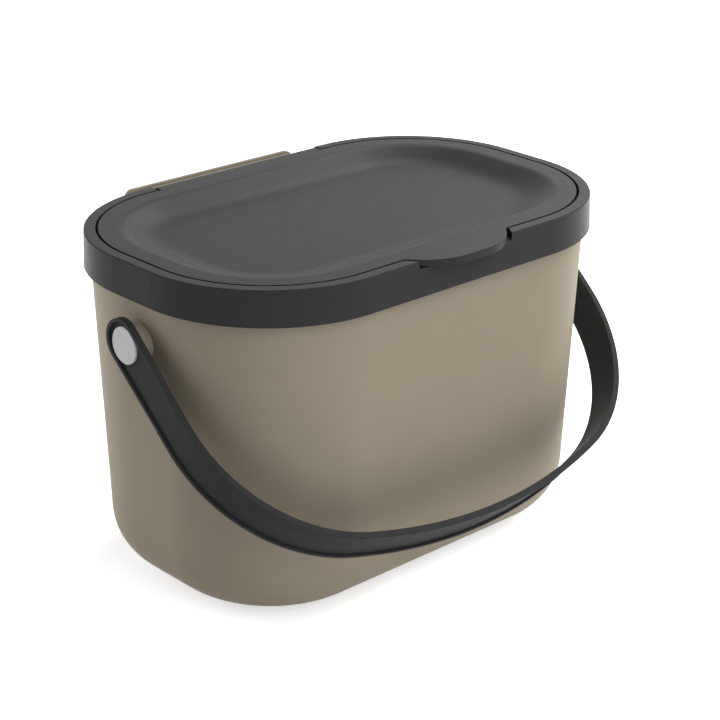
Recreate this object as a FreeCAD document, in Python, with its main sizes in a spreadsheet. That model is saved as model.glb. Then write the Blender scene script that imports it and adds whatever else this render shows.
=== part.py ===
"""Kitchen food-waste bin: a tapered tub with a rear hook, a lid frame, a dished lid and a strap handle.

Millimetres. The origin is the middle of the tub's base on the surface it stands on, +Z is up, +X runs
along the bin's length and the finger tab of the lid faces -Y.
"""
import FreeCAD, Part
import math
import os
import Sketcher
from FreeCAD import Vector

SIZES = {
    # Outline of the lid frame seen from above, and the height of its top.
    "frame_length": 271.4,
    "frame_width": 175.4,
    "frame_corner": 72.7,
    "overall_height": 181.0,
    # Section of the lid frame: outer skirt, bar over the tub's rim, inner wall and lid ledge.
    "skirt_height": 18.2,
    "skirt_flare": 0.7,
    "skirt_wall": 1.8,
    "bar_depth": 5.8,
    "bar_edge_bevel": 0.5,
    "ring_width": 5.8,
    "inner_wall": 1.8,
    "ledge_reach": 6.2,
    "ledge_thickness": 2.0,
    # Gaps between the tub's rim and the two walls of the frame.
    "rim_gap": 0.7,
    "inner_gap": 0.7,
    # Tub: wall, floor, how far each wall draws in from rim to base, and the round bottom edge.
    "tub_wall": 1.8,
    "tub_floor": 2.5,
    "wall_draft": 7.2,
    "base_round": 30.0,
    # Hanging hook behind the tub: a shelf and a plate that stands a little over it. The rim is lowered there.
    "hook_width": 117.0,
    "hook_gap": 23.5,
    "hook_thickness": 3.0,
    "hook_drop": 24.0,
    "hook_depth": 6.8,
    "hook_rise": 1.5,
    "hook_corner": 5.0,
    "hook_edge_bevel": 0.9,
    "hook_clearance": 0.8,
    "rear_rim_clearance": 0.3,
    # Lid: gap to the frame, plate, rim below it, border round the dish, and the dish.
    "lid_gap": 1.4,
    "lid_thickness": 2.0,
    "lid_rim_depth": 2.9,
    "lid_rim_width": 1.6,
    "lid_seat_gap": 0.2,
    "dish_border": 11.3,
    "dish_slope": 16.0,
    "dish_depth": 6.5,
    "dish_top_round": 10.0,
    "dish_bottom_round": 30.0,
    # Finger tab and the notch that it lies in.
    "tab_root_half": 35.1,
    "tab_front_half": 21.4,
    "tab_reach": 7.9,
    "tab_thickness": 3.2,
    "tab_lip_height": 4.0,
    "tab_lip_gap": 1.2,
    "tab_corner": 34.0,
    "notch_root_half": 36.9,
    "notch_front_half": 31.4,
    "notch_depth": 3.8,
    # Lid hinge: barrel on the lid, cheeks and sockets in the frame.
    "hinge_width": 111.0,
    "hinge_inset": 2.4,
    "barrel_radius": 2.3,
    "barrel_gap": 0.5,
    "cheek_gap": 1.7,
    "cheek_length": 5.0,
    "stub_radius": 1.4,
    "stub_length": 4.0,
    "socket_gap": 0.06,
    "hinge_wall": 2.0,
    # Handle: strap section, U shape, eyes, and where it hangs.
    "pivot_drop": 40.0,
    "leg_gap": 2.36,
    "strap_width": 22.0,
    "strap_thickness": 2.0,
    "bead_width": 1.8,
    "bead_height": 1.4,
    "handle_drop": 145.5,
    "bend_radius": 85.4,
    "grip_radius": 280.0,
    "eye_radius": 11.9,
    "eye_offset": 2.1,
    "eye_taper": 40.0,
    "handle_angle": 48.2,
    # Pivot buttons and the bosses that they snap into.
    "boss_radius": 10.4,
    "boss_gap": 0.3,
    "boss_edge_bevel": 0.6,
    "button_radius": 9.5,
    "button_thickness": 1.7,
    "button_edge_bevel": 0.4,
    "button_seat": 1.0,
    "button_lift": 0.2,
    "button_gap": 0.5,
    "shank_radius": 4.5,
    "shank_gap": 0.08,
    "barb_height": 0.7,
    "barb_length": 4.0,
    "barb_gap": 0.5,
    "slot_width": 1.6,
    "slot_length": 6.0,
    # Cuts run this far past the solid.
    "overrun": 5.0,
}

# Two places closer than this are taken as one.
NEAR = 0.001

doc = FreeCAD.newDocument("kitchen_bin")
sheet = doc.addObject("Spreadsheet::Sheet", "sizes")
for row, (word, value) in enumerate(SIZES.items(), start=1):
    sheet.set(f"A{row}", word)
    sheet.set(f"B{row}", str(value))
    sheet.setAlias(f"B{row}", word)
doc.recompute()


def size(text):
    """Turn a formula in plain size names into one that reads the sheet."""
    words = []
    word = ""
    for letter in text + " ":
        if letter.isalnum() or letter in "_.":
            word += letter
            continue
        words.append(f"sizes.{word}" if word in SIZES else word)
        words.append(letter)
        word = ""
    return "".join(words).strip()


def number(formula):
    """The present value of a formula, in millimetres or degrees."""
    return float(sheet.evalExpression(formula))


# Heights and insets that several pieces share.
TOP = size("overall_height")
SKIRT_BOTTOM = size("(overall_height - skirt_height)")
RIM = size("(overall_height - bar_depth)")
HOOK_TOP = size("(overall_height - hook_depth)")
PIVOT = size("(overall_height - pivot_drop)")
RIM_INSET = size("(skirt_wall + rim_gap)")
INNER_INSET = size(f"({RIM_INSET} + tub_wall + inner_gap)")
LEDGE_INSET = size(f"({INNER_INSET} + inner_wall + ledge_reach)")
SEAT_Z = size("(overall_height - lid_thickness - lid_rim_depth - lid_seat_gap)")
LID_INSET = size("(ring_width + lid_gap)")
HINGE_Y = size("(frame_width / 2 - hinge_inset)")
HINGE_Z = size("(overall_height - barrel_radius)")
STRAP_FACE = size("(frame_length / 2 + skirt_flare + leg_gap)")
LEG_X = size(f"({STRAP_FACE} + (strap_thickness + bead_height) / 2)")
BOSS_FACE = size(f"({STRAP_FACE} - boss_gap)")
PIVOT_SHARE = f"({PIVOT} / {RIM})"
WALL_X = size(f"(frame_length / 2 - {RIM_INSET} - wall_draft * (1 - {PIVOT_SHARE}))")
REAR_WALL_Y = size(f"(frame_width / 2 - {RIM_INSET})")


def frame_outline(inset):
    """Length, width and corner radius of the frame's outline drawn in by a formula."""
    return (size(f"frame_length - 2 * ({inset})"), size(f"frame_width - 2 * ({inset})"),
            size(f"frame_corner - ({inset})"))


def base_outline(inset):
    """The tub's outline at its base, drawn in by a formula."""
    return frame_outline(size(f"{RIM_INSET} + wall_draft + {inset}"))


def new_body(name):
    body = doc.addObject("PartDesign::Body", name)
    body.Label = name
    return body


def origin_plane(body, role):
    return next(plane for plane in body.Origin.OriginFeatures if plane.Role == role)


def new_sketch(body, name, role, offset="0"):
    """An empty sketch on one of the body's own planes, moved along its normal by a formula."""
    sketch = body.newObject("Sketcher::SketchObject", name)
    sketch.AttachmentSupport = [(origin_plane(body, role), "")]
    sketch.MapMode = "FlatFace"
    sketch.setExpression("AttachmentOffset.Base.z", offset)
    doc.recompute()
    return sketch


def drive(sketch, constraint, formula):
    """Add a dimension whose value follows a formula."""
    index = sketch.addConstraint(Sketcher.Constraint(*constraint, number(formula)))
    sketch.setExpression(f"Constraints[{index}]", formula)


def rounded_rectangle(sketch, outline):
    """A rectangle with round corners, centred on the sketch's origin."""
    half_x, half_y, radius = number(outline[0]) / 2, number(outline[1]) / 2, number(outline[2])
    inner_x, inner_y = half_x - radius, half_y - radius
    ends = [((-inner_x, -half_y), (inner_x, -half_y)), ((half_x, -inner_y), (half_x, inner_y)),
            ((inner_x, half_y), (-inner_x, half_y)), ((-half_x, inner_y), (-half_x, -inner_y))]
    centres = [(inner_x, -inner_y), (inner_x, inner_y), (-inner_x, inner_y), (-inner_x, -inner_y)]
    sides = [sketch.addGeometry(Part.LineSegment(Vector(*a, 0), Vector(*b, 0))) for a, b in ends]
    arcs = []
    for turn, centre in enumerate(centres):
        circle = Part.Circle(Vector(*centre, 0), Vector(0, 0, 1), radius)
        start = (turn - 1) * math.pi / 2
        arcs.append(sketch.addGeometry(Part.ArcOfCircle(circle, start, start + math.pi / 2)))
    for turn in range(len(sides)):
        following = sides[(turn + 1) % len(sides)]
        sketch.addConstraint(Sketcher.Constraint("Tangent", sides[turn], 2, arcs[turn], 1))
        sketch.addConstraint(Sketcher.Constraint("Tangent", arcs[turn], 2, following, 1))
        sketch.addConstraint(Sketcher.Constraint("Vertical" if turn % 2 else "Horizontal", sides[turn]))
    for arc in arcs[1:]:
        sketch.addConstraint(Sketcher.Constraint("Equal", arcs[0], arc))
    sketch.addConstraint(Sketcher.Constraint("Symmetric", sides[0], 1, sides[2], 1, -1, 1))
    drive(sketch, ("DistanceX", sides[3], 1, sides[1], 1), outline[0])
    drive(sketch, ("DistanceY", sides[0], 1, sides[2], 1), outline[1])
    drive(sketch, ("Radius", arcs[0]), outline[2])


def polygon(sketch, points):
    """A closed outline of straight sides; each corner is a pair of formulas."""
    places = [Vector(number(x), number(y), 0) for x, y in points]
    sides = []
    for turn, place in enumerate(places):
        sides.append(sketch.addGeometry(Part.LineSegment(place, places[(turn + 1) % len(places)])))
    for turn, (x, y) in enumerate(points):
        following = sides[(turn + 1) % len(sides)]
        sketch.addConstraint(Sketcher.Constraint("Coincident", sides[turn], 2, following, 1))
        drive(sketch, ("DistanceX", -1, 1, sides[turn], 1), x)
        drive(sketch, ("DistanceY", -1, 1, sides[turn], 1), y)


def rectangle(sketch, left, right, low, high):
    polygon(sketch, [(left, low), (right, low), (right, high), (left, high)])


def disc(sketch, x, y, radius):
    """A full circle about a point given by formulas."""
    centre = Vector(number(x), number(y), 0)
    ring = sketch.addGeometry(Part.Circle(centre, Vector(0, 0, 1), number(radius)))
    drive(sketch, ("DistanceX", -1, 1, ring, 3), x)
    drive(sketch, ("DistanceY", -1, 1, ring, 3), y)
    drive(sketch, ("Radius", ring), radius)


def extrude(body, kind, name, sketch, length, side="One side", backwards=False, spread=None):
    """A pad or a pocket, whose volume has to change the right way.

    spread is how far each wall moves outwards from the sketch to the far end.
    """
    before = body.Shape.Volume if not body.Shape.isNull() else 0.0
    feature = body.newObject(f"PartDesign::{kind}", name)
    feature.Profile = sketch
    feature.SideType = side
    feature.Reversed = backwards
    feature.setExpression("Length", length)
    if spread:
        feature.setExpression("TaperAngle", f"atan(({spread}) / ({length}))")
    doc.recompute()
    change = body.Shape.Volume - before
    if (change > 0) != (kind == "Pad"):
        raise ValueError(f"{body.Label}.{name} changes the volume by {change:.1f}")
    return feature


def pad(body, name, sketch, length, **how):
    return extrude(body, "Pad", name, sketch, length, **how)


def pocket(body, name, sketch, length, **how):
    return extrude(body, "Pocket", name, sketch, length, **how)


def edges_where(feature, test):
    """Names of the edges of a feature whose middle point and direction pass a test."""
    names = []
    for index, edge in enumerate(feature.Shape.Edges, start=1):
        middle = edge.valueAt((edge.FirstParameter + edge.LastParameter) / 2)
        if test(edge, middle):
            names.append(f"Edge{index}")
    return names


def ease(body, kind, name, feature, amount, test):
    """Round or bevel the edges of a feature that pass a test."""
    easing = body.newObject(f"PartDesign::{kind}", name)
    easing.Base = (feature, edges_where(feature, test))
    easing.setExpression("Radius" if kind == "Fillet" else "Size", amount)
    doc.recompute()
    return easing


def fillet(body, name, feature, radius, test):
    return ease(body, "Fillet", name, feature, radius, test)


def bevel(body, name, feature, width, test):
    return ease(body, "Chamfer", name, feature, width, test)


def mirror(body, name, features):
    """Repeat features on the other end of the bin."""
    copy = body.newObject("PartDesign::Mirrored", name)
    copy.Originals = features
    copy.MirrorPlane = (origin_plane(body, "YZ_Plane"), [""])
    body.Tip = copy
    doc.recompute()
    return copy


def same(one, other):
    return abs(one - other) < NEAR


def is_level(edge, height):
    """True for an edge that lies flat at a height."""
    return same(edge.BoundBox.ZMin, height) and same(edge.BoundBox.ZMax, height)


def make_tub():
    body = new_body("tub")
    base = new_sketch(body, "tub_base", "XY_Plane")
    rounded_rectangle(base, base_outline("0"))
    pad(body, "tub_outside", base, RIM, spread=size("wall_draft"))
    mouth = new_sketch(body, "tub_mouth", "XY_Plane", RIM)
    rounded_rectangle(mouth, frame_outline(size(f"{RIM_INSET} + tub_wall")))
    depth = size(f"({RIM} - tub_floor)")
    inside = pocket(body, "tub_inside", mouth, depth, spread=size(f"0 - wall_draft * {depth} / {RIM}"))
    floor_z = number(size("tub_floor"))
    inner = fillet(body, "tub_inner_bottom_edge", inside, size("base_round - tub_wall"),
                   lambda edge, middle: is_level(edge, floor_z))
    fillet(body, "tub_bottom_edge", inner, size("base_round"), lambda edge, middle: is_level(edge, 0))

    # The hook: a shelf behind the lowered rim, and a plate with round corners along its outer edge.
    shelf_y = size(f"({REAR_WALL_Y} - tub_wall / 2 - wall_draft * (hook_depth - bar_depth) / {RIM})")
    lip_y = size("(frame_width / 2 + hook_gap)")
    shelf_top = size(f"({HOOK_TOP} - hook_rise)")
    shelf = new_sketch(body, "hook_shelf_outline", "YZ_Plane")
    shelf_under = size(f"{shelf_top} - hook_thickness")
    rectangle(shelf, shelf_y, size(f"{lip_y} - hook_thickness / 2"), shelf_under, shelf_top)
    pad(body, "hook_shelf", shelf, size("hook_width - 2 * hook_corner"), side="Symmetric")
    lip = new_sketch(body, "hook_lip_outline", "XZ_Plane", f"-{lip_y}")
    rectangle(lip, size("0 - hook_width / 2"), size("hook_width / 2"),
              size(f"{HOOK_TOP} - hook_drop"), HOOK_TOP)
    plate = pad(body, "hook_lip", lip, size("hook_thickness"))
    half = number(size("hook_width / 2"))
    lip_face = number(lip_y)
    corners = fillet(body, "hook_corners", plate, size("hook_corner"),
                     lambda edge, middle: same(abs(middle.x), half) and same(edge.BoundBox.ZLength, 0))
    bevel(body, "hook_edge", corners, size("hook_edge_bevel"),
          lambda edge, middle: same(edge.BoundBox.YLength, 0) and same(middle.y, lip_face))

    # Pivot bosses on both ends.
    face = new_sketch(body, "boss_face", "YZ_Plane", BOSS_FACE)
    disc(face, "0", PIVOT, size("boss_radius"))
    boss = pad(body, "boss", face, size(f"{BOSS_FACE} - {WALL_X} + tub_wall / 2"), backwards=True)
    face_x = number(BOSS_FACE)
    mirror(body, "bosses", [boss])
    bevel(body, "boss_edges", body.Tip, size("boss_edge_bevel"),
          lambda edge, middle: same(edge.BoundBox.XLength, 0) and same(abs(middle.x), face_x))

    # The rim is lower behind, under the hinge.
    rear = new_sketch(body, "rear_rim", "XY_Plane", RIM)
    reach = size("hinge_width / 2 + cheek_gap + cheek_length + hook_clearance")
    rectangle(rear, f"-({reach})", reach, size("frame_width / 2 - frame_corner / 2"), lip_y)
    pocket(body, "rear_rim_cut", rear, size("hook_depth - bar_depth"))

    bore = new_sketch(body, "pivot_bore", "YZ_Plane")
    disc(bore, "0", PIVOT, size("shank_radius + shank_gap"))
    pocket(body, "pivot_bores", bore, size(f"2 * ({BOSS_FACE} + overrun)"), side="Symmetric")
    return body


def make_frame():
    body = new_body("rim_frame")
    low = new_sketch(body, "skirt_edge", "XY_Plane", SKIRT_BOTTOM)
    rounded_rectangle(low, frame_outline(size("0 - skirt_flare")))
    blank = pad(body, "frame_blank", low, size("skirt_height"), spread=size("0 - skirt_flare"))
    top = number(TOP)
    bevel(body, "frame_top_edge", blank, size("bar_edge_bevel"), lambda edge, middle: is_level(edge, top))

    # The channel that takes the tub's rim, and the room under the lid's ledge.
    channel = new_sketch(body, "rim_channel", "XY_Plane", SKIRT_BOTTOM)
    rounded_rectangle(channel, frame_outline(size("skirt_wall")))
    rounded_rectangle(channel, frame_outline(INNER_INSET))
    pocket(body, "rim_channel_cut", channel, size("skirt_height - bar_depth"), backwards=True)
    room = new_sketch(body, "under_ledge", "XY_Plane", SKIRT_BOTTOM)
    rounded_rectangle(room, frame_outline(size(f"{INNER_INSET} + inner_wall")))
    ledge_under = size(f"({SEAT_Z} - ledge_thickness)")
    pocket(body, "under_ledge_cut", room, size(f"{ledge_under} - {SKIRT_BOTTOM}"), backwards=True)

    # A block behind carries the hinge.
    block_bottom = size(f"({HOOK_TOP} + rear_rim_clearance)")
    block_half = size("(hinge_width / 2 + cheek_gap + cheek_length)")
    trough_y = size("(frame_width / 2 - ring_width - barrel_gap)")
    block = new_sketch(body, "hinge_block_outline", "XY_Plane", block_bottom)
    rectangle(block, f"-{block_half}", block_half, size(f"{trough_y} - hinge_wall"),
              size("frame_width / 2 - skirt_wall / 2"))
    pad(body, "hinge_block", block, size(f"{TOP} - {block_bottom} - bar_edge_bevel"))

    # Seat for the lid's border, and the mouth.
    seat = new_sketch(body, "lid_seat", "XY_Plane", TOP)
    rounded_rectangle(seat, frame_outline(size("ring_width")))
    pocket(body, "lid_seat_cut", seat, size(f"{TOP} - {SEAT_Z}"))
    mouth = new_sketch(body, "frame_mouth", "XY_Plane", TOP)
    rounded_rectangle(mouth, frame_outline(LEDGE_INSET))
    pocket(body, "frame_mouth_cut", mouth, size("skirt_height + overrun"))

    # Trough for the hinge barrel, gap for the hook, and the sockets.
    trough = new_sketch(body, "hinge_trough", "XY_Plane", TOP)
    trough_half = size("(hinge_width / 2 + cheek_gap)")
    behind = size("frame_width / 2 + overrun")
    rectangle(trough, f"-{trough_half}", trough_half, trough_y, behind)
    pocket(body, "hinge_trough_cut", trough, size("2 * barrel_radius + barrel_gap"))
    hook_gap = new_sketch(body, "hook_gap_outline", "XY_Plane", block_bottom)
    gap_half = size("(hook_width / 2 - hook_corner + hook_clearance)")
    rectangle(hook_gap, f"-{gap_half}", gap_half, size(f"{REAR_WALL_Y} + rim_gap / 2"), behind)
    pocket(body, "hook_gap_cut", hook_gap, size("skirt_height"))
    socket = new_sketch(body, "hinge_socket", "YZ_Plane")
    disc(socket, HINGE_Y, HINGE_Z, size("stub_radius + socket_gap"))
    pocket(body, "hinge_sockets", socket, size("hinge_width + 2 * (cheek_gap + stub_length + barrel_gap)"),
           side="Symmetric")

    # Notch in front for the lid's tab.
    notch = new_sketch(body, "tab_notch", "XY_Plane", TOP)
    root_y = size("ring_width - frame_width / 2 + lid_gap")
    front_y = size("0 - frame_width / 2 - skirt_flare")
    polygon(notch, [(size("0 - notch_root_half"), root_y), (size("0 - notch_front_half"), front_y),
                    (size("notch_front_half"), front_y), (size("notch_root_half"), root_y)])
    pocket(body, "tab_notch_cut", notch, size("notch_depth"))
    return body


def make_lid():
    body = new_body("lid")
    plate = new_sketch(body, "lid_outline", "XY_Plane", TOP)
    rounded_rectangle(plate, frame_outline(LID_INSET))
    pad(body, "lid_plate", plate, size("lid_thickness"), backwards=True)
    rim = new_sketch(body, "lid_rim_outline", "XY_Plane", size("overall_height - lid_thickness"))
    rounded_rectangle(rim, frame_outline(LID_INSET))
    rounded_rectangle(rim, frame_outline(size(f"{LID_INSET} + lid_rim_width")))
    pad(body, "lid_rim", rim, size("lid_rim_depth"), backwards=True)

    # Finger tab in front. Its part over the frame is thinner than its lip, which the fingers pull on.
    tab = new_sketch(body, "tab_outline", "XY_Plane", TOP)
    root_y = size(f"({LID_INSET} - frame_width / 2)")
    front_y = size("(0 - frame_width / 2 - tab_reach)")
    polygon(tab, [(size("0 - tab_root_half"), root_y), (size("0 - tab_front_half"), front_y),
                  (size("tab_front_half"), front_y), (size("tab_root_half"), root_y)])
    pull = pad(body, "tab", tab, size("tab_lip_height"), backwards=True)
    front = number(front_y)
    fillet(body, "tab_corners", pull, size("tab_corner"),
           lambda edge, middle: same(edge.BoundBox.XLength, 0) and same(middle.y, front))
    under = new_sketch(body, "tab_underside", "XY_Plane", size("overall_height - tab_thickness"))
    rectangle(under, size("0 - tab_root_half"), size("tab_root_half"),
              size("0 - frame_width / 2 - tab_lip_gap"), root_y)
    pocket(body, "tab_underside_cut", under, size("tab_lip_height"))

    # Rear tongue, hinge barrel and stub axles.
    rear = new_sketch(body, "rear_tongue_outline", "XY_Plane", TOP)
    half = size("(hinge_width / 2)")
    rectangle(rear, f"-{half}", half, size(f"frame_width / 2 - {LID_INSET} - lid_thickness"), HINGE_Y)
    pad(body, "rear_tongue", rear, size("lid_thickness"), backwards=True)
    barrel = new_sketch(body, "hinge_barrel_outline", "YZ_Plane")
    disc(barrel, HINGE_Y, HINGE_Z, size("barrel_radius"))
    pad(body, "hinge_barrel", barrel, size("hinge_width"), side="Symmetric")
    stub = new_sketch(body, "stub_outline", "YZ_Plane")
    disc(stub, HINGE_Y, HINGE_Z, size("stub_radius"))
    pad(body, "hinge_stubs", stub, size("hinge_width + 2 * (cheek_gap + stub_length)"), side="Symmetric")

    # The dish: the same sloping pan below the plate and cut into its top.
    outline = frame_outline(size(f"{LID_INSET} + dish_border"))
    inwards = size("0 - dish_slope")
    under = new_sketch(body, "dish_underside", "XY_Plane", size("overall_height - lid_thickness"))
    rounded_rectangle(under, outline)
    pad(body, "dish_pan", under, size("dish_depth"), backwards=True, spread=inwards)
    over = new_sketch(body, "dish_outline", "XY_Plane", TOP)
    rounded_rectangle(over, outline)
    dish = pocket(body, "dish", over, size("dish_depth"), spread=inwards)
    dish_floor = number(size("overall_height - dish_depth"))
    dish = fillet(body, "dish_floor_round", dish, size("dish_bottom_round"),
                  lambda edge, middle: is_level(edge, dish_floor))
    top = number(TOP)
    half_x, half_y = number(outline[0]) / 2, number(outline[1]) / 2
    fillet(body, "dish_top_edge", dish, size("dish_top_round"),
           lambda edge, middle: is_level(edge, top) and edge.BoundBox.XMax < half_x + NEAR
           and edge.BoundBox.XMin > -half_x - NEAR and edge.BoundBox.YMax < half_y + NEAR
           and edge.BoundBox.YMin > -half_y - NEAR)
    return body


def make_handle():
    """The strap hangs straight down in its own frame, with the pivot along X through the origin."""
    body = new_body("carry_handle")
    path = new_sketch(body, "strap_path", "XZ_Plane")
    leg, drop = number(LEG_X), number(size("handle_drop"))
    bend, grip = number(size("bend_radius")), number(size("grip_radius"))
    grip_z = grip - drop
    bend_z = grip_z - math.sqrt((grip - bend) ** 2 - (leg - bend) ** 2)
    turn = math.atan2(grip_z - bend_z, leg - bend)
    normal = Vector(0, 0, 1)
    right_circle = Part.Circle(Vector(leg - bend, bend_z, 0), normal, bend)
    left_circle = Part.Circle(Vector(bend - leg, bend_z, 0), normal, bend)
    grip_circle = Part.Circle(Vector(0, grip_z, 0), normal, grip)
    right = path.addGeometry(Part.LineSegment(Vector(leg, 0, 0), Vector(leg, bend_z, 0)))
    right_bend = path.addGeometry(Part.ArcOfCircle(right_circle, -turn, 0))
    bottom = path.addGeometry(Part.ArcOfCircle(grip_circle, turn - math.pi, -turn))
    left_bend = path.addGeometry(Part.ArcOfCircle(left_circle, -math.pi, turn - math.pi))
    left = path.addGeometry(Part.LineSegment(Vector(-leg, bend_z, 0), Vector(-leg, 0, 0)))
    for joint in ((right, 2, right_bend, 2), (right_bend, 1, bottom, 2), (bottom, 1, left_bend, 2),
                  (left_bend, 1, left, 1)):
        path.addConstraint(Sketcher.Constraint("Tangent", *joint))
    path.addConstraint(Sketcher.Constraint("Vertical", right))
    path.addConstraint(Sketcher.Constraint("Vertical", left))
    path.addConstraint(Sketcher.Constraint("PointOnObject", right, 1, -1))
    path.addConstraint(Sketcher.Constraint("Symmetric", right, 1, left, 2, -1, 1))
    path.addConstraint(Sketcher.Constraint("Equal", right_bend, left_bend))
    path.addConstraint(Sketcher.Constraint("PointOnObject", bottom, 3, -2))
    drive(path, ("DistanceX", left, 2, right, 1), size(f"2 * {LEG_X}"))
    drive(path, ("Radius", right_bend), size("bend_radius"))
    drive(path, ("Radius", bottom), size("grip_radius"))
    drive(path, ("DistanceY", -1, 1, bottom, 3), size("grip_radius - handle_drop"))

    # Strap section at the top of the right leg: flat inside, a bead along both edges outside.
    section = new_sketch(body, "strap_section", "XY_Plane")
    inner, outer = STRAP_FACE, size(f"({STRAP_FACE} + strap_thickness)")
    crest = size(f"({outer} + bead_height)")
    edge = size("(strap_width / 2)")
    bead = size("(strap_width / 2 - bead_width)")
    polygon(section, [(inner, f"-{edge}"), (crest, f"-{edge}"), (crest, f"-{bead}"), (outer, f"-{bead}"),
                      (outer, bead), (crest, bead), (crest, edge), (inner, edge)])
    strap = body.newObject("PartDesign::AdditivePipe", "strap")
    strap.Profile = section
    strap.Spine = path
    doc.recompute()

    # Eye: a round end past the pivot, drawn in to the strap's width, with the edge bead running round it.
    outline = new_sketch(body, "eye_outline", "YZ_Plane", inner)
    disc(outline, "0", size("eye_offset"), size("eye_radius"))
    eye = pad(body, "eye", outline, size("strap_thickness + bead_height"))
    flank = new_sketch(body, "eye_flank", "YZ_Plane", inner)
    foot = size("(0 - eye_taper)")
    polygon(flank, [(size("0 - eye_radius"), size("eye_offset")), (f"-{edge}", foot),
                    (edge, foot), (size("eye_radius"), size("eye_offset"))])
    neck = pad(body, "eye_neck", flank, size("strap_thickness + bead_height"))
    hollow = size("(eye_radius - bead_width)")
    above = new_sketch(body, "eye_hollow_outline", "YZ_Plane", size(f"{crest} + overrun"))
    disc(above, "0", size("eye_offset"), hollow)
    round_hollow = pocket(body, "eye_hollow", above, size("bead_height + overrun"))
    along = new_sketch(body, "neck_hollow_outline", "YZ_Plane", size(f"{crest} + overrun"))
    polygon(along, [(f"-{hollow}", size("eye_offset")), (f"-{bead}", foot), (bead, foot),
                    (hollow, size("eye_offset"))])
    neck_hollow = pocket(body, "neck_hollow", along, size("bead_height + overrun"))

    # Sunk seat for the button, and the hole for its shank.
    seat = new_sketch(body, "button_seat_outline", "YZ_Plane", size(f"{crest} + overrun"))
    disc(seat, "0", "0", size("button_radius + button_gap"))
    sink = size("strap_thickness + bead_height - button_seat + overrun")
    recess = pocket(body, "button_recess", seat, sink)
    bore = new_sketch(body, "eye_bore_outline", "YZ_Plane", size(f"{inner} - overrun"))
    disc(bore, "0", "0", size("shank_radius + shank_gap"))
    hole = pocket(body, "eye_bore", bore, size("strap_thickness + 2 * overrun"), backwards=True)
    mirror(body, "eyes", [eye, neck, round_hollow, neck_hollow, recess, hole])
    body.setExpression("Placement.Base.z", PIVOT)
    body.setExpression("Placement.Rotation.Axis.x", "1")
    body.setExpression("Placement.Rotation.Axis.z", "0")
    body.setExpression("Placement.Rotation.Angle", size("0 - handle_angle"))
    return body


def make_button(name, turn):
    """A push-in rivet along +X in its own frame, turned about Z to face its own end of the bin."""
    body = new_body(name)
    under = size(f"({STRAP_FACE} + button_seat + button_lift)")
    outer = size(f"({under} + button_thickness)")
    snap = size(f"({WALL_X} - tub_wall - barb_gap)")
    end = size(f"({snap} - barb_length)")
    profile = new_sketch(body, f"{name}_profile", "XZ_Plane")
    polygon(profile, [(outer, "0"), (outer, size("button_radius")), (under, size("button_radius")),
                      (under, size("shank_radius")), (snap, size("shank_radius")),
                      (snap, size("shank_radius + barb_height")), (end, size("shank_radius - barb_height")),
                      (end, "0")])
    rivet = body.newObject("PartDesign::Revolution", f"{name}_rivet")
    rivet.Profile = profile
    rivet.ReferenceAxis = (profile, ["H_Axis"])
    rivet.Angle = 360
    doc.recompute()
    face_x = number(outer)
    bevel(body, f"{name}_edge", rivet, size("button_edge_bevel"),
          lambda edge, middle: same(edge.BoundBox.XLength, 0) and same(middle.x, face_x))
    slot = new_sketch(body, f"{name}_slot_outline", "XZ_Plane")
    half_slot = size("(slot_width / 2)")
    rectangle(slot, size(f"{end} - overrun"), size(f"{end} + slot_length"), f"-{half_slot}", half_slot)
    pocket(body, f"{name}_slot", slot, size("2 * (shank_radius + overrun)"), side="Symmetric")
    body.setExpression("Placement.Base.z", PIVOT)
    body.setExpression("Placement.Rotation.Angle", turn)
    return body


pieces = [make_tub(), make_frame(), make_lid(), make_handle(),
          make_button("right_pivot_button", "0"), make_button("left_pivot_button", "180")]
doc.recompute()
for thing in doc.Objects:
    if "Invalid" in thing.State or "Error" in thing.State:
        raise RuntimeError(f"{thing.Label} failed: {thing.State}")
os.makedirs("parts", exist_ok=True)
for piece in pieces:
    shape = piece.Shape
    if shape.isNull() or not shape.isValid() or len(shape.Solids) != 1:
        raise RuntimeError(f"{piece.Label} is not one valid solid")
    shape.exportStep(f"parts/{piece.Label}.step")
    box = shape.BoundBox
    print(f"{piece.Label}: volume {shape.Volume / 1000:.2f} cm3, x {box.XMin:.1f} {box.XMax:.1f},"
          f" y {box.YMin:.1f} {box.YMax:.1f}, z {box.ZMin:.1f} {box.ZMax:.1f}")
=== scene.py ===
"""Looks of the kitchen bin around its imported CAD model: camera, studio light, floor and moulded plastics."""

import math

import bpy
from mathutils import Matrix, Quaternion, Vector

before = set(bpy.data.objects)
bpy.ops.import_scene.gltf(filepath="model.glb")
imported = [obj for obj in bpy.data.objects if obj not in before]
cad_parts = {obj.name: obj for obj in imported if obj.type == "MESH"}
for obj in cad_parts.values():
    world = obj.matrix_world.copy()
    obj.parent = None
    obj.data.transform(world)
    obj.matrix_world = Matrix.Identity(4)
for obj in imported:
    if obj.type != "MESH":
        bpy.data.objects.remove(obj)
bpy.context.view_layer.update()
scene = bpy.context.scene

# Camera, fitted to the photograph's edges: places in metres, lens and sensor in millimetres, roll in degrees.
CAMERA_PLACE = (-0.6610, -0.7226, 0.5028)
CAMERA_TARGET = (0.01199, 0.0, 0.09117)
CAMERA_LENS = 100.27
CAMERA_SENSOR = 36.0
CAMERA_ROLL = 0.5

# Soft studio lights: azimuth and elevation in degrees, distance and side in metres, power in watts.
# Azimuth 0 is the bin's right end, -90 its front and 90 its back.
LIGHT_AIM = (0.0, 0.0, 0.10)
LIGHTS = {
    "right": (1.5, 31.0, 1.6, 1.4, 37.0),
    "back_left": (120.0, 12.0, 1.6, 1.1, 17.0),
    "front_high": (-100.0, 58.0, 1.6, 1.1, 6.5),
    "front_wide": (-97.0, 24.0, 1.6, 2.0, 12.0),
    "sheen_card": (20.0, 46.0, 1.6, 1.0, 15.5),
}
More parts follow.
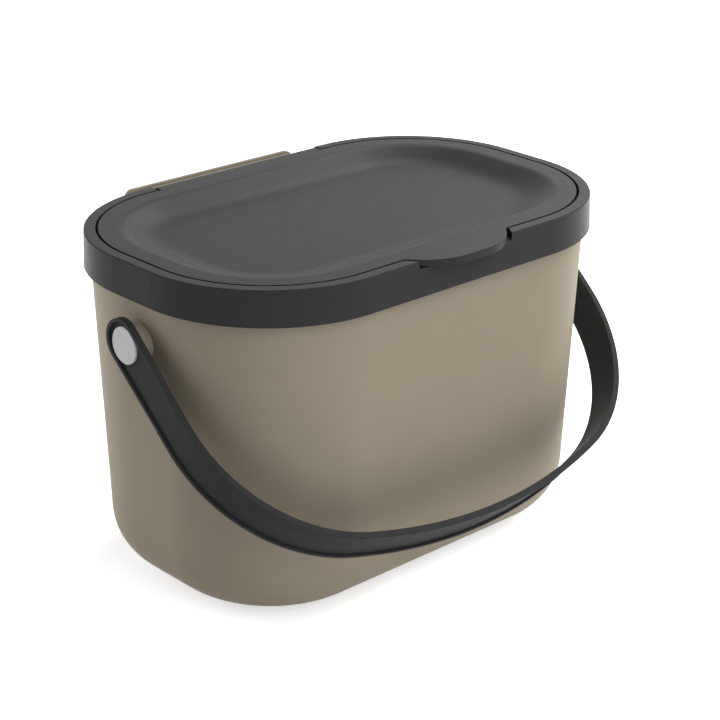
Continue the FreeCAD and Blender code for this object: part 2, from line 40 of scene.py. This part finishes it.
# This one shows only as a soft sheen on the plastic. The others light it and aren't mirrored, so that none
# glares on the lid.
SHEEN_LIGHT = "sheen_card"

# Floor, lengths in metres: its own grey, and the share of plain white that camera rays see near the bin.
# The share grows to all of it between the near and the far distance.
FLOOR_GREY = 0.92
FLOOR_RADIUS = 14.0
FLOOR_SIDES = 96
FLOOR_WHITE = 0.63
FLOOR_NEAR = 0.2
FLOOR_FAR = 0.7

# Plastics: sRGB colour, roughness, specular level, colour factor of the painted highlight (above 1) or painted
# shade (below 1) on rounded edges, and the nodes made of it.
PLASTICS = {
    "tub_plastic": ((161, 151, 132), 0.55, 0.08, 1.1, ("tub",)),
    "lid_plastic": ((59, 59, 60), 0.34, 0.04, 0.7, ("rim_frame", "lid")),
    "handle_plastic": ((62, 62, 63), 0.5, 0.025, 0.6, ("carry_handle",)),
    "button_plastic": ((207, 207, 208), 0.35, 0.12, 1.1, ("right_pivot_button", "left_pivot_button")),
}

# Noises: waves per metre and detail, and the range in which most of a noise lies.
DRIFT_NOISE = (45.0, 3.0)
ROUGH_NOISE = (260.0, 4.0)
GRAIN_NOISE = (2200.0, 2.0)
NOISE_RANGE = (0.3, 0.7)

# How far colour and roughness drift up and down, and the height of the moulded grain in metres.
COLOUR_DRIFT = 0.012
ROUGH_DRIFT = 0.04
GRAIN_HEIGHT = 0.000002

# Rounded edges: radius in metres, and the cosine between the softened and the true normal at which the painted
# highlight or painted shade on the edge starts and is full.
EDGE_RADIUS = 0.0004
EDGE_TURN = (0.98, 0.75)

# Painted shade in crevices: reach in metres, the openness at which it is full and ends, and its colour factor.
PAINTED_SHADE_REACH = 0.003
PAINTED_SHADE_OPEN = (0.15, 0.75)
PAINTED_SHADE_FACTOR = 0.4

# Rays that look for edges and crevices at each point.
SEARCH_RAYS = 8


def srgb(levels, factor=1.0):
    """Linear colour from sRGB levels of 0 to 255, times a factor."""
    colour = []
    for level in levels:
        share = level / 255
        linear = share / 12.92 if share <= 0.04045 else ((share + 0.055) / 1.055) ** 2.4
        colour.append(linear * factor)
    return (*colour, 1.0)


def add_camera():
    data = bpy.data.cameras.new("camera")
    data.lens = CAMERA_LENS
    data.sensor_width = CAMERA_SENSOR
    camera = bpy.data.objects.new("camera", data)
    scene.collection.objects.link(camera)
    place, target = Vector(CAMERA_PLACE), Vector(CAMERA_TARGET)
    camera.location = place
    camera.rotation_mode = "QUATERNION"
    roll = Quaternion((0, 0, 1), math.radians(CAMERA_ROLL))
    camera.rotation_quaternion = (target - place).to_track_quat("-Z", "Y") @ roll
    scene.camera = camera


def add_light(name, azimuth, elevation, distance, side, power):
    data = bpy.data.lights.new(name, "AREA")
    data.shape = "SQUARE"
    data.size = side
    data.energy = power
    light = bpy.data.objects.new(name, data)
    scene.collection.objects.link(light)
    turn, rise = math.radians(azimuth), math.radians(elevation)
    flat = math.cos(rise)
    towards = Vector((math.cos(turn) * flat, math.sin(turn) * flat, math.sin(rise)))
    light.location = Vector(LIGHT_AIM) + towards * distance
    light.rotation_mode = "QUATERNION"
    light.rotation_quaternion = (-towards).to_track_quat("-Z", "Y")
    light.visible_glossy = name == SHEEN_LIGHT
    light.visible_diffuse = name != SHEEN_LIGHT


def maths(tree, operation, first, second):
    """The result of two values."""
    node = tree.nodes.new("ShaderNodeMath")
    node.operation = operation
    tree.links.new(first, node.inputs[0])
    tree.links.new(second, node.inputs[1])
    return node.outputs["Value"]


def ranged(tree, value, source, low, high):
    """A value moved from its source range to the range from low to high, and held inside it."""
    node = tree.nodes.new("ShaderNodeMapRange")
    node.inputs["From Min"].default_value = source[0]
    node.inputs["From Max"].default_value = source[1]
    node.inputs["To Min"].default_value = low
    node.inputs["To Max"].default_value = high
    tree.links.new(value, node.inputs["Value"])
    return node.outputs["Result"]


def noise(tree, coordinates, scale, detail):
    """A noise texture in the piece's own frame."""
    texture = tree.nodes.new("ShaderNodeTexNoise")
    texture.inputs["Scale"].default_value = scale
    texture.inputs["Detail"].default_value = detail
    tree.links.new(coordinates, texture.inputs["Vector"])
    return texture.outputs["Fac"]


def colour_mix(tree, factor):
    """A mix of two colours, whose A and B are still to be set."""
    node = tree.nodes.new("ShaderNodeMix")
    node.data_type = "RGBA"
    tree.links.new(factor, node.inputs["Factor"])
    return node


def seen_directly(tree):
    """A value that is 1 for camera, mirror and glass rays, and 0 for the light that lands on the bin."""
    path = tree.nodes.new("ShaderNodeLightPath").outputs
    either = maths(tree, "MAXIMUM", path["Is Camera Ray"], path["Is Glossy Ray"])
    return maths(tree, "MAXIMUM", either, path["Is Transmission Ray"])


def add_world():
    """A white background that sheds no light on the bin."""
    world = bpy.data.worlds.new("studio")
    scene.world = world
    world.use_nodes = True
    tree = world.node_tree
    background = tree.nodes["Background"]
    background.inputs["Color"].default_value = (1, 1, 1, 1)
    tree.links.new(seen_directly(tree), background.inputs["Strength"])


def add_floor():
    """A round pale floor, which camera rays see near white with the bin's soft shadow on it."""
    bpy.ops.mesh.primitive_circle_add(vertices=FLOOR_SIDES, radius=FLOOR_RADIUS, fill_type="NGON")
    floor = bpy.context.object
    floor.name = "floor"
    material = bpy.data.materials.new("pale_floor")
    material.use_nodes = True
    tree = material.node_tree
    tree.nodes.clear()
    output = tree.nodes.new("ShaderNodeOutputMaterial")
    matte = tree.nodes.new("ShaderNodeBsdfDiffuse")
    matte.inputs["Color"].default_value = (FLOOR_GREY, FLOOR_GREY, FLOOR_GREY, 1)
    glow = tree.nodes.new("ShaderNodeEmission")
    away = tree.nodes.new("ShaderNodeVectorMath")
    away.operation = "LENGTH"
    tree.links.new(tree.nodes.new("ShaderNodeTexCoord").outputs["Object"], away.inputs[0])
    white = ranged(tree, away.outputs["Value"], (FLOOR_NEAR, FLOOR_FAR), FLOOR_WHITE, 1.0)
    tree.links.new(maths(tree, "MULTIPLY", seen_directly(tree), white), glow.inputs["Strength"])
    both = tree.nodes.new("ShaderNodeAddShader")
    tree.links.new(matte.outputs[0], both.inputs[0])
    tree.links.new(glow.outputs[0], both.inputs[1])
    tree.links.new(both.outputs[0], output.inputs["Surface"])
    floor.data.materials.append(material)


def plastic(name, levels, roughness, specular, painted_edge_factor):
    """Moulded plastic: slight drift of colour, uneven roughness, fine grain, soft edges with a painted
    highlight or painted shade, and painted shade in crevices.
    """
    material = bpy.data.materials.new(name)
    material.use_nodes = True
    tree = material.node_tree
    shader = tree.nodes["Principled BSDF"]
    shader.inputs["Specular IOR Level"].default_value = specular
    coordinates = tree.nodes.new("ShaderNodeTexCoord").outputs["Object"]

    drift = ranged(tree, noise(tree, coordinates, *DRIFT_NOISE), NOISE_RANGE, 0.0, 1.0)
    shade = colour_mix(tree, drift)
    shade.inputs["A"].default_value = srgb(levels, 1 - COLOUR_DRIFT)
    shade.inputs["B"].default_value = srgb(levels, 1 + COLOUR_DRIFT)

    # Edges: the bevel's softened normal, and where it leaves the true one a painted highlight (a lighter
    # colour) or painted shade (a darker colour), set by the plastic's edge factor.
    soft = tree.nodes.new("ShaderNodeBevel")
    soft.samples = SEARCH_RAYS
    soft.inputs["Radius"].default_value = EDGE_RADIUS
    along = tree.nodes.new("ShaderNodeVectorMath")
    along.operation = "DOT_PRODUCT"
    tree.links.new(soft.outputs["Normal"], along.inputs[0])
    tree.links.new(tree.nodes.new("ShaderNodeNewGeometry").outputs["Normal"], along.inputs[1])
    painted_edge_mix = colour_mix(tree, ranged(tree, along.outputs["Value"], EDGE_TURN, 0.0, 1.0))
    painted_edge_mix.inputs["B"].default_value = srgb(levels, painted_edge_factor)
    tree.links.new(shade.outputs["Result"], painted_edge_mix.inputs["A"])

    # Painted shade: narrow gaps and inner corners are painted darker, where shade falls.
    shade_occlusion = tree.nodes.new("ShaderNodeAmbientOcclusion")
    shade_occlusion.samples = SEARCH_RAYS
    shade_occlusion.inputs["Distance"].default_value = PAINTED_SHADE_REACH
    painted_crevice_shade = colour_mix(tree, ranged(tree, shade_occlusion.outputs["AO"], PAINTED_SHADE_OPEN, 0.0, 1.0))
    painted_crevice_shade.inputs["A"].default_value = srgb(levels, PAINTED_SHADE_FACTOR)
    tree.links.new(painted_edge_mix.outputs["Result"], painted_crevice_shade.inputs["B"])
    tree.links.new(painted_crevice_shade.outputs["Result"], shader.inputs["Base Color"])

    uneven = noise(tree, coordinates, *ROUGH_NOISE)
    rough = ranged(tree, uneven, NOISE_RANGE, roughness - ROUGH_DRIFT, roughness + ROUGH_DRIFT)
    tree.links.new(rough, shader.inputs["Roughness"])
    bump = tree.nodes.new("ShaderNodeBump")
    bump.inputs["Distance"].default_value = GRAIN_HEIGHT
    bump.inputs["Strength"].default_value = 1.0
    tree.links.new(noise(tree, coordinates, *GRAIN_NOISE), bump.inputs["Height"])
    tree.links.new(soft.outputs["Normal"], bump.inputs["Normal"])
    tree.links.new(bump.outputs["Normal"], shader.inputs["Normal"])
    return material


scene.view_settings.view_transform = "Standard"
add_camera()
for light_name, light_facts in LIGHTS.items():
    add_light(light_name, *light_facts)
add_world()
add_floor()
for plastic_name, (*plastic_facts, node_names) in PLASTICS.items():
    plastic_material = plastic(plastic_name, *plastic_facts)
    for node_name in node_names:
        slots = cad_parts[node_name].data.materials
        slots.clear()
        slots.append(plastic_material)
